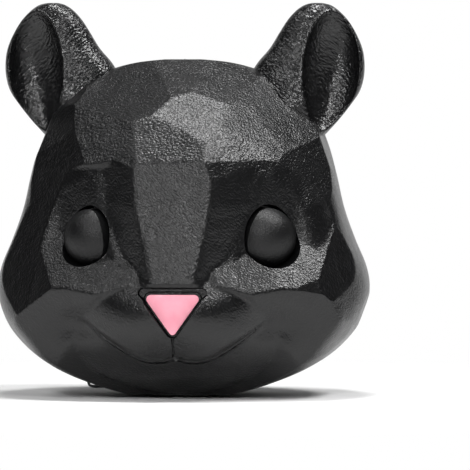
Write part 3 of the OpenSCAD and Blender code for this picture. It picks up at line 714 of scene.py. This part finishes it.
# Moulded vinyl: black and satin, with the short fine strokes of the tool that finished the pattern. They
# are drawn coarse enough to show, about 0.7 mm wide and 1.1 mm long on the head and 2.6 mm on the ears.
def vinyl_with_strokes(name, depth, size, dullness, gloss):
    """Black satin vinyl with strokes of a depth and a size that run as the piece's own strokes attribute
    says. Its roughness varies over the range of dullness, and gloss is the level of its specular."""
    vinyl, shader = new_material(name, Base_Color=linear("0d0d0e"), Roughness=0.42, IOR=1.5,
                                 Specular_IOR_Level=gloss)
    where = add_node(vinyl, "ShaderNodeTexCoord")
    turn = add_node(vinyl, "ShaderNodeAttribute", attribute_name="strokes")
    along = add_node(vinyl, "ShaderNodeVectorRotate", rotation_type="Y_AXIS",
                     links={"Vector": where.outputs["Object"], "Angle": turn.outputs["Fac"]})
    drawn = add_node(vinyl, "ShaderNodeMapping", {"Scale": [1 / c for c in size]},
                     {"Vector": along.outputs["Vector"]})
    strokes = add_node(vinyl, "ShaderNodeTexNoise", {"Scale": 1.0, "Detail": 1.0, "Roughness": 0.5},
                       {"Vector": drawn.outputs["Vector"]})
    hand = add_node(vinyl, "ShaderNodeTexNoise", {"Scale": 1 / (9 * mm), "Detail": 2.0},
                    {"Vector": where.outputs["Object"]})
    hand_bump = add_node(vinyl, "ShaderNodeBump", {"Strength": 1.0, "Distance": 0.5 * mm},
                         {"Height": hand.outputs["Fac"]})
    stroke_bump = add_node(vinyl, "ShaderNodeBump", {"Strength": 1.0, "Distance": depth},
                           {"Height": strokes.outputs["Fac"], "Normal": hand_bump.outputs["Normal"]})
    connect(vinyl, stroke_bump.outputs["Normal"], shader.inputs["Normal"])
    worn = add_node(vinyl, "ShaderNodeMapRange",
                    {"From Min": 0.35, "From Max": 0.65, "To Min": dullness[0], "To Max": dullness[1]},
                    {"Value": hand.outputs["Fac"]})
    connect(vinyl, worn.outputs["Result"], shader.inputs["Roughness"])
    return vinyl


vinyl = vinyl_with_strokes("moulded_black_vinyl", depth=0.27 * mm,
                           size=(1.1 * mm, 0.72 * mm, 0.72 * mm), dullness=(0.28, 0.33), gloss=0.45)
give_material(head, vinyl)
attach(head, "head")
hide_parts("head_shell")

# Ears. Each is a thick moulding of the same vinyl with a cup in its front, bonded by its root into a
# seat in the head. The strokes of its finish are longer than those on the head.
cup_half = (12.1, 10, 26.4)
cup_middle = (15.6, -8, 23.5)
cup_lean = 4.5
cup_turn = 25
ear_strokes = math.radians(50)
ear_grid = 0.55
ear_vinyl = vinyl_with_strokes("moulded_ear_vinyl", depth=0.45 * mm,
                               size=(0.9 * mm, 0.9 * mm, 2.6 * mm), dullness=(0.22, 0.28), gloss=0.6)
for side, name in ((-1, "left_ear"), (1, "right_ear")):
    ear = ear_form(name + "_moulding", side)
    cup = ball("cup_cutter", columns=64, rings=48)[0]
    move_mesh(cup, Matrix.Diagonal(Vector((*cup_half, 1000)) * mm))
    place = Vector((side * (ear_x + cup_middle[0]), ear_y + cup_middle[1], ear_z + cup_middle[2])) * mm
    move_mesh(cup, Matrix.Translation(place) @ Matrix.Rotation(math.radians(side * cup_turn), 4, "Z")
              @ Matrix.Rotation(math.radians(side * cup_lean), 4, "Y"))
    subtract(ear, [cup])
    finish_with(ear, "REMESH", mode="VOXEL", voxel_size=ear_grid * mm)
    finish_with(ear, "SMOOTH", factor=0.5, iterations=6)
    subtract(ear, [root_cutter(side, -60, -root_depth)])
    select_only(ear)
    bpy.ops.object.shade_smooth_by_angle(angle=math.radians(60))
    ear.data.attributes.new("strokes", "FLOAT", "POINT").data.foreach_set(
        "value", np.full(len(ear.data.vertices), side * ear_strokes))
    give_material(ear, ear_vinyl)
    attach(ear, "head")
    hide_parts(name)

# Eyes. Dark domes of satin plastic with a straight rim. Each sits in its socket with a gap round it, on
# a shank that goes through the head's wall.
eye_dome = 7.5
dome_sink = -0.4
rim_h = socket_depth - dome_sink
dome_r = ((max(eye_h) / 2) ** 2 + eye_dome ** 2) / (2 * eye_dome)


def add_grain(material, shader, size, detail, depth, dullness=None, unevenness=0.5):
    """A fine grain that stands up by its depth and, where dullness is given, changes the gloss."""
    where = add_node(material, "ShaderNodeTexCoord")
    grain = add_node(material, "ShaderNodeTexNoise",
                     {"Scale": 1 / size, "Detail": detail, "Roughness": unevenness},
                     {"Vector": where.outputs["Object"]})
    grain_bump = add_node(material, "ShaderNodeBump", {"Strength": 1.0, "Distance": depth},
                          {"Height": grain.outputs["Fac"]})
    connect(material, grain_bump.outputs["Normal"], shader.inputs["Normal"])
    if dullness:
        dull = add_node(material, "ShaderNodeMapRange", {"To Min": dullness[0], "To Max": dullness[1]},
                        {"Value": grain.outputs["Fac"]})
        connect(material, dull.outputs["Result"], shader.inputs["Roughness"])


def dome_front(piece, place, radius, columns, rings):
    """Cuts a piece down to a sphere round a place in millimetres, which makes its front a dome."""
    bpy.ops.object.select_all(action="DESELECT")
    bpy.ops.mesh.primitive_uv_sphere_add(segments=columns, ring_count=rings, radius=radius * mm)
    sphere = bpy.context.object
    move_mesh(sphere, Matrix.Translation(Vector(place) * mm))
    finish_with(piece, "BOOLEAN", operation="INTERSECT", object=sphere, solver="EXACT")
    bpy.data.objects.remove(sphere)


# Satin plastic: nearly black, with a fine grain that keeps the highlight on each dome soft
satin, shader = new_material("satin_dark_plastic", Base_Color=linear("0c0c0d"), Roughness=0.38, IOR=1.5,
                             Specular_IOR_Level=0.4)
add_grain(satin, shader, size=0.7 * mm, detail=3.0, depth=0.22 * mm, dullness=(0.34, 0.46),
          unevenness=0.6)
for side, name in ((-1, "left_eye"), (1, "right_eye")):
    eye = prism(name + "_dome", egg(side, 0), -socket_depth, 10, 0.3)
    dome_front(eye, (0, 0, rim_h - socket_depth + eye_dome - dome_r), dome_r, columns=160, rings=120)
    move_mesh(eye, eye_matrix(side))
    select_only(eye)
    bpy.ops.object.shade_smooth_by_angle(angle=math.radians(30))
    give_material(eye, satin)
    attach(eye, "head")
    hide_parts(name)

# Shanks. The eyes and the nose are each moulded in one piece with a ridged shank, which passes through
# the head's wall and holds a washer behind it.
shank_out = 6
shank_r = shank_d / 2


def turned(name, outline, matrix, closed=True, sides=64):
    """A form turned round local Z from its outline of radius and height in millimetres."""
    data = bpy.data.meshes.new(name)
    data.from_pydata([(r * mm, 0, z * mm) for r, z in outline],
                     [(i, (i + 1) % len(outline)) for i in range(len(outline) - (not closed))], [])
    piece = add_object(name, data)
    select_only(piece)
    bpy.ops.object.mode_set(mode="EDIT")
    bpy.ops.mesh.select_all(action="SELECT")
    bpy.ops.mesh.spin(steps=sides, angle=2 * math.pi, center=(0, 0, 0), axis=(0, 0, 1))
    bpy.ops.mesh.select_all(action="SELECT")
    bpy.ops.mesh.remove_doubles(threshold=1e-7)
    bpy.ops.mesh.normals_make_consistent(inside=False)
    bpy.ops.object.mode_set(mode="OBJECT")
    move_mesh(piece, matrix)
    bpy.ops.object.shade_smooth_by_angle(angle=math.radians(35))
    return piece


def ridged_shank(name, length, matrix, material):
    """A shank that hangs down local Z by its length and has ridges where the washer grips it."""
    outline = [(0, -length), (shank_r - 0.5, -length), (shank_r, 0.5 - length)]
    for i in range(5):
        outline += [(shank_r, i + 0.9 - length), (shank_r - 0.35, i + 1 - length),
                    (shank_r, i + 1.5 - length)]
    outline += [(shank_r, 1), (0, 1)]
    shank = turned(name, outline, matrix, closed=False)
    give_material(shank, material)
    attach(shank, "head")


for side, name in ((-1, "left_eye_shank"), (1, "right_eye_shank")):
    ridged_shank(name, wall + shank_out, eye_matrix(side) @ Matrix.Translation((0, 0, -socket_depth * mm)),
                 satin)

# Nose. A pink vinyl moulding with a softly domed front and rounded edges, pushed by its shank into its
# pocket under the brim.
nose_dome_r = 60
nose_dome = 1.2
nose = prism("pink_nose", nose_outline(0), nose_floor, nose_front + 5)
dome_front(nose, (0, nose_shank_z, nose_front + nose_dome - nose_dome_r), nose_dome_r,
           columns=256, rings=128)
finish_with(nose, "BEVEL", width=0.8 * mm, segments=4, limit_method="ANGLE", angle_limit=math.radians(60))
move_mesh(nose, face_front)
select_only(nose)
bpy.ops.object.shade_smooth_by_angle(angle=math.radians(50))
# Pink vinyl: soft and half matt, with a faint mottle of two pinks
pink, shader = new_material("pink_vinyl", Base_Color=linear("f9a3b1"), Roughness=0.4)
where = add_node(pink, "ShaderNodeTexCoord")
clouds = add_node(pink, "ShaderNodeTexNoise", {"Scale": 1 / (5 * mm), "Detail": 3.0},
                  {"Vector": where.outputs["Object"]})
tint = add_node(pink, "ShaderNodeValToRGB", links={"Fac": clouds.outputs["Fac"]})
tint.color_ramp.elements[0].position = 0.35
tint.color_ramp.elements[0].color = linear("fa9fb2")
tint.color_ramp.elements[1].position = 0.65
tint.color_ramp.elements[1].color = linear("ffabbc")
connect(pink, tint.outputs["Color"], shader.inputs["Base Color"])
add_grain(pink, shader, size=0.5 * mm, detail=2.0, depth=0.03 * mm)
give_material(nose, pink)
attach(nose, "head")
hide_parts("nose")
nose_place = face_front @ Matrix.Translation((0, nose_shank_z * mm, nose_floor * mm))
ridged_shank("nose_shank", nose_floor - nose_back + shank_out, nose_place, pink)

# Push-on washers. Moulded nylon discs with a slit collar that springs open and grips the ridges, pressed
# over the shanks behind the wall.
washer_t = 1.6
collar_r = shank_r + 2
collar_h = 1.6
slit_w = 0.6
slit_reach = 4.9
washer_r = washer_d / 2
washer_bore_r = shank_r + 0.1
washer_gap = 0.05
# Natural nylon: milky white, with the soft flow marks of its moulding
nylon, shader = new_material("natural_nylon", Base_Color=linear("dcdcd6"), Roughness=0.4,
                             Subsurface_Weight=0.15, Subsurface_Scale=2 * mm)
add_grain(nylon, shader, size=2.5 * mm, detail=4.0, depth=0.05 * mm, dullness=(0.32, 0.52))
behind_socket = Matrix.Translation((0, 0, -(socket_depth + wall + washer_gap) * mm))
behind_nose = Matrix.Translation((0, nose_shank_z * mm, (nose_back - washer_gap) * mm))
washer_places = [("left_eye_washer", eye_matrix(-1) @ behind_socket),
                 ("right_eye_washer", eye_matrix(1) @ behind_socket),
                 ("nose_washer", face_front @ behind_nose)]
for name, place in washer_places:
    outline = [(washer_bore_r, 0.2), (washer_bore_r + 0.2, 0), (washer_r - 0.3, 0), (washer_r, 0.3),
               (washer_r, washer_t - 0.4), (washer_r - 0.3, washer_t), (washer_r - 1.2, washer_t),
               (washer_r - 1.5, washer_t - 0.3), (collar_r + 0.5, washer_t - 0.3), (collar_r, washer_t),
               (collar_r - 0.2, washer_t + collar_h - 0.2), (collar_r - 0.5, washer_t + collar_h),
               (washer_bore_r + 0.3, washer_t + collar_h), (washer_bore_r, washer_t + collar_h - 0.3)]
    washer = turned(name + "_moulding", outline, Matrix())
    slits = []
    for turn in (0, 60, 120):
        slit = prism("slit_cutter", [(-slit_reach, -slit_w / 2), (slit_reach, -slit_w / 2),
                                     (slit_reach, slit_w / 2), (-slit_reach, slit_w / 2)], washer_t - 0.5, 5)
        slits.append(move_mesh(slit, Matrix.Rotation(math.radians(turn), 4, "Z")))
    subtract(washer, slits)
    move_mesh(washer, place @ Matrix.Rotation(math.pi, 4, "X"))
    give_material(washer, nylon)
    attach(washer, "head")
    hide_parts(name)

# Crown eyelet. A blackened steel tube with a domed flange outside and a rim rolled over inside, which
# keeps the line from cutting into the vinyl of the crown.
crown_matrix = (Matrix.Translation(Vector(crown_top) * mm)
                @ Matrix.Rotation(math.radians(-crown_tilt), 4, "X"))
eyelet_end = -crown_wall - 0.6


# Coated steel: a shiny metal that the fine uneven grain of its coating makes a little dull in places
def plated_metal(name, colour, grain_size, depth):
    """A steel in the colour of its coating, with a grain of a size and a depth."""
    metal, shader = new_material(name, Base_Color=linear(colour), Metallic=1.0, Roughness=0.3)
    add_grain(metal, shader, grain_size, detail=3.0, depth=depth, dullness=(0.22, 0.46))
    return metal


eyelet = turned("crown_eyelet_tube", [
    (1.2, eyelet_end + 0.25), (1.2, 0.45), (1.3, 0.68), (1.6, 0.8), (2.5, 0.76), (3.3, 0.58), (3.8, 0.32),
    (eyelet_flange_r, 0.08), (eyelet_flange_r - 0.05, 0), (eyelet_tube_r, 0),
    (eyelet_tube_r, -crown_wall - 0.1), (2.8, -crown_wall - 0.06), (3.05, -crown_wall - 0.18),
    (3.1, -crown_wall - 0.36), (2.95, -crown_wall - 0.53), (2.5, eyelet_end), (1.5, eyelet_end),
    (1.27, eyelet_end + 0.08)], crown_matrix)
give_material(eyelet, plated_metal("blackened_steel", "343436", grain_size=0.8 * mm, depth=0.01 * mm))
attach(eyelet, "head")
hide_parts("crown_eyelet")

# Stop washer. A stamped washer of zinc plated steel. It is loose on the line, rests on the stop knot and
# slides up to the eyelet.
stop_rest = 0.15 - stop_depth
stop_r = 6.5
stop_t = 1.5
stop_bore_r = 1.1
stop = turned("zinc_stop_washer", [
    (stop_bore_r, 0.25), (stop_bore_r + 0.25, 0), (stop_r - 0.08, 0), (stop_r, 0.08), (stop_r, stop_t - 0.35),
    (stop_r - 0.1, stop_t - 0.12), (stop_r - 0.35, stop_t), (stop_bore_r + 0.15, stop_t),
    (stop_bore_r, stop_t - 0.15)], crown_matrix @ Matrix.Translation((0, 0, stop_rest * mm)))
give_material(stop, plated_metal("zinc_plated_steel", "c3c7cb", grain_size=1.6 * mm, depth=0.03 * mm))
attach(stop, "stop_washer")
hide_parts("stop_washer")

# Table and light. The head stands on a plain white table that runs into a white backdrop. Seven small
# soft boxes round it each light some of its facets and leave the others dark.
bpy.ops.object.select_all(action="DESELECT")
bpy.ops.mesh.primitive_plane_add(size=1.8, location=(0, 0, 0))
table = bpy.context.object
table.name = "table"
# White paper: matt under the head, and plain white further out, so that the table shows no edge
paper, shader = new_material("white_paper", Base_Color=linear("f6f6f6"), Roughness=0.9,
                             Specular_IOR_Level=0.1)
ray = add_node(paper, "ShaderNodeLightPath")
where = add_node(paper, "ShaderNodeTexCoord")
away = add_node(paper, "ShaderNodeVectorMath", links={0: where.outputs["Object"]}, operation="LENGTH")
plain = add_node(paper, "ShaderNodeMapRange",
                 {"From Min": 0.1, "From Max": 0.3, "To Min": 0.0, "To Max": 1.0},
                 {"Value": away.outputs["Value"]}, interpolation_type="SMOOTHSTEP")
seen = add_node(paper, "ShaderNodeMath", operation="ADD", links={
    0: ray.outputs["Is Camera Ray"], 1: ray.outputs["Is Glossy Ray"]})
seen = add_node(paper, "ShaderNodeMath", operation="ADD", links={
    0: seen.outputs["Value"], 1: ray.outputs["Is Transmission Ray"]})
share = add_node(paper, "ShaderNodeMath", operation="MULTIPLY", links={
    0: seen.outputs["Value"], 1: plain.outputs["Result"]})
white = add_node(paper, "ShaderNodeEmission", {"Color": (1, 1, 1, 1), "Strength": 1.0})
mixed = add_node(paper, "ShaderNodeMixShader", links={
    "Fac": share.outputs["Value"], 1: shader.outputs["BSDF"], 2: white.outputs["Emission"]})
connect(paper, mixed.outputs["Shader"], paper.node_tree.nodes["Material Output"].inputs["Surface"])
give_material(table, paper)
lamps_aim = Vector((0, 0, 70 * mm))


def soft_box(name, place, size, radiance):
    """A rectangular lamp that faces the head, with its brightness given at its face."""
    data = bpy.data.lights.new(name, "AREA")
    data.shape = "RECTANGLE"
    data.size, data.size_y = size
    data.energy = radiance * math.pi * size[0] * size[1]
    lamp = add_object(name, data)
    lamp.location = place
    lamp.rotation_euler = (lamps_aim - lamp.location).to_track_quat("-Z", "Y").to_euler()


soft_box("overhead_box", (0.03, -0.05, 1.12), size=(0.26, 0.26), radiance=32)
soft_box("right_box", (0.55, -0.13, 0.95), size=(0.26, 0.26), radiance=31)
soft_box("left_box", (-0.55, -0.15, 0.9), size=(0.2, 0.2), radiance=10)
soft_box("rear_box", (-0.02, 0.6, 0.95), size=(0.3, 0.3), radiance=0.1)
soft_box("front_right_box", (0.22, -0.8, 0.68), size=(0.2, 0.16), radiance=19)
soft_box("front_left_box", (-0.42, -0.72, 0.62), size=(0.16, 0.14), radiance=25)
soft_box("front_low_box", (-0.08, -1.0, 0.34), size=(0.12, 0.1), radiance=52)
# Surroundings: white where the camera sees them and behind the head, and nearly dark elsewhere
world = bpy.data.worlds.new("surroundings")
bpy.context.scene.world = world
world.use_nodes = True
backdrop = world.node_tree.nodes["Background"]
backdrop.inputs["Color"].default_value = (1, 1, 1, 1)
ray = add_node(world, "ShaderNodeLightPath")
where = add_node(world, "ShaderNodeTexCoord")
sides = add_node(world, "ShaderNodeSeparateXYZ", links={"Vector": where.outputs["Generated"]})
behind = add_node(world, "ShaderNodeMapRange",
                  {"From Min": 0.45, "From Max": 0.95, "To Min": 0.02, "To Max": 1.0},
                  {"Value": sides.outputs["Y"]}, interpolation_type="SMOOTHSTEP")
seen = add_node(world, "ShaderNodeMath", operation="MAXIMUM", links={
    0: ray.outputs["Is Camera Ray"], 1: ray.outputs["Is Transmission Ray"]})
strength = add_node(world, "ShaderNodeMath", operation="MAXIMUM", links={
    0: behind.outputs["Result"], 1: seen.outputs["Value"]})
connect(world, strength.outputs["Value"], backdrop.inputs["Strength"])
bpy.context.scene.view_settings.view_transform = "Standard"
